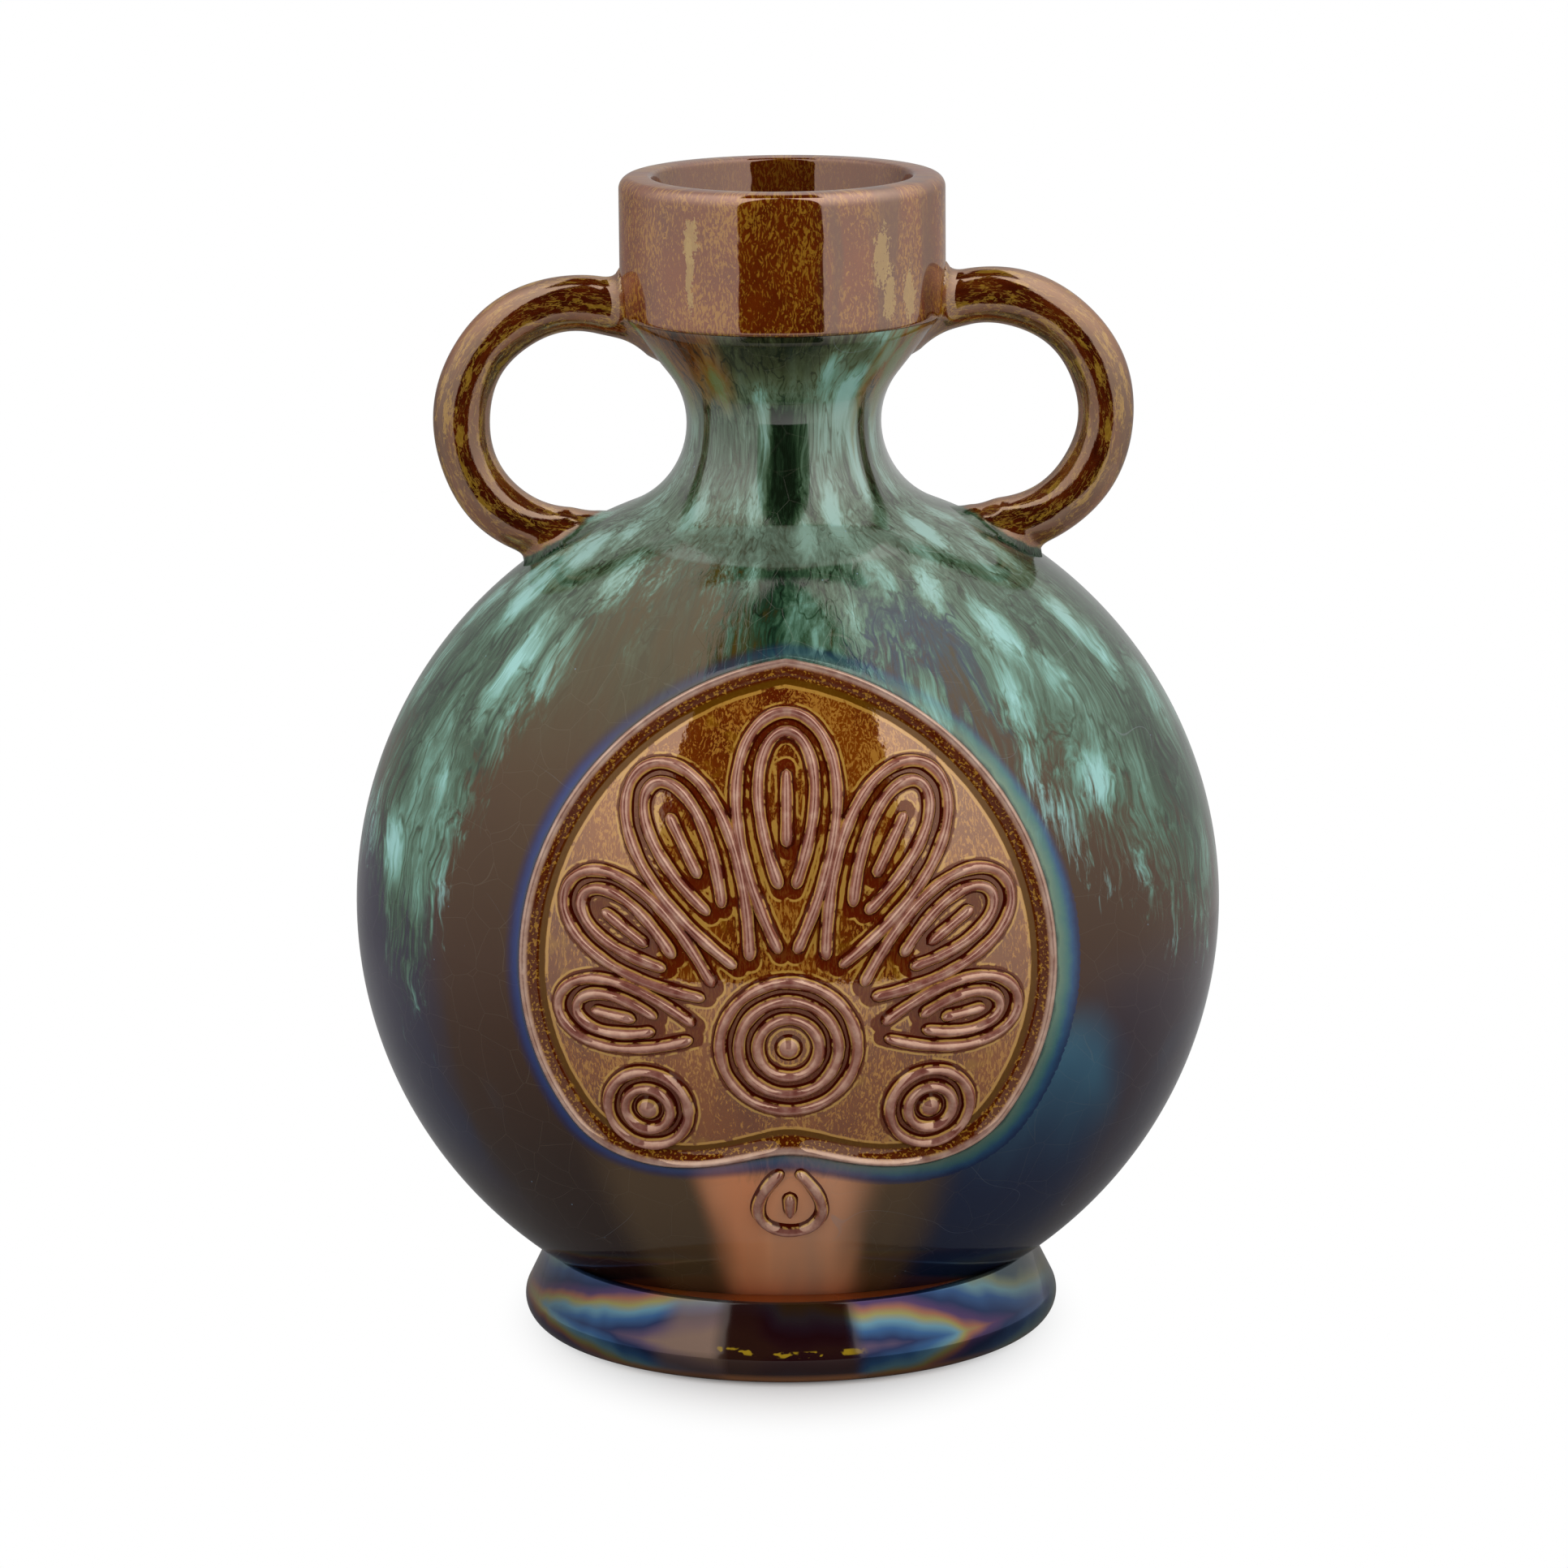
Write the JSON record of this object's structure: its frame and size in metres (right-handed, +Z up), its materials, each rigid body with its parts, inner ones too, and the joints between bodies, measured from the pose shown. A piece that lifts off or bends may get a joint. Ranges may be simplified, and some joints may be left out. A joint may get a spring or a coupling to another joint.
{
  "type": "pilgrim flask",
  "caption": "Glazed pilgrim flask: flattened round body on a ring foot, straight collar mouth, two ring handles and a sunk medallion with coiled relief on each face.",
  "frame": {"origin": "on the table plane, under the centre of the foot ring", "axes": "+Z up along the neck, -Y out of the front medallion, +X towards the right handle seen from the front"},
  "size_m": [0.149, 0.1192, 0.2],
  "materials": {
    "body_glaze": "glossy",
    "neck_glaze": "glossy",
    "collar_glaze": "glossy",
    "handle_glaze": "glossy",
    "foot_glaze": "glossy",
    "relief_glaze": "glossy"
  },
  "bodies": {
    "root": {"foot_ring": "foot_glaze", "body_front_half": "body_glaze", "body_back_half": "body_glaze", "neck": "neck_glaze", "mouth_collar": "collar_glaze", "handle_left": "handle_glaze", "handle_right": "handle_glaze", "front_border": "relief_glaze", "front_palmette_root": "relief_glaze", "front_rosette_left": "relief_glaze", "front_rosette_right": "relief_glaze", "front_pendant": "relief_glaze", "back_border": "relief_glaze", "back_palmette_root": "relief_glaze", "back_rosette_left": "relief_glaze", "back_rosette_right": "relief_glaze", "back_pendant": "relief_glaze", "front_leaf_1": "relief_glaze", "front_leaf_2": "relief_glaze", "front_leaf_3": "relief_glaze", "front_leaf_4": "relief_glaze", "front_leaf_5": "relief_glaze", "front_leaf_6": "relief_glaze", "front_leaf_7": "relief_glaze", "back_leaf_1": "relief_glaze", "back_leaf_2": "relief_glaze", "back_leaf_3": "relief_glaze", "back_leaf_4": "relief_glaze", "back_leaf_5": "relief_glaze", "back_leaf_6": "relief_glaze", "back_leaf_7": "relief_glaze"}
  },
  "joints": []
}
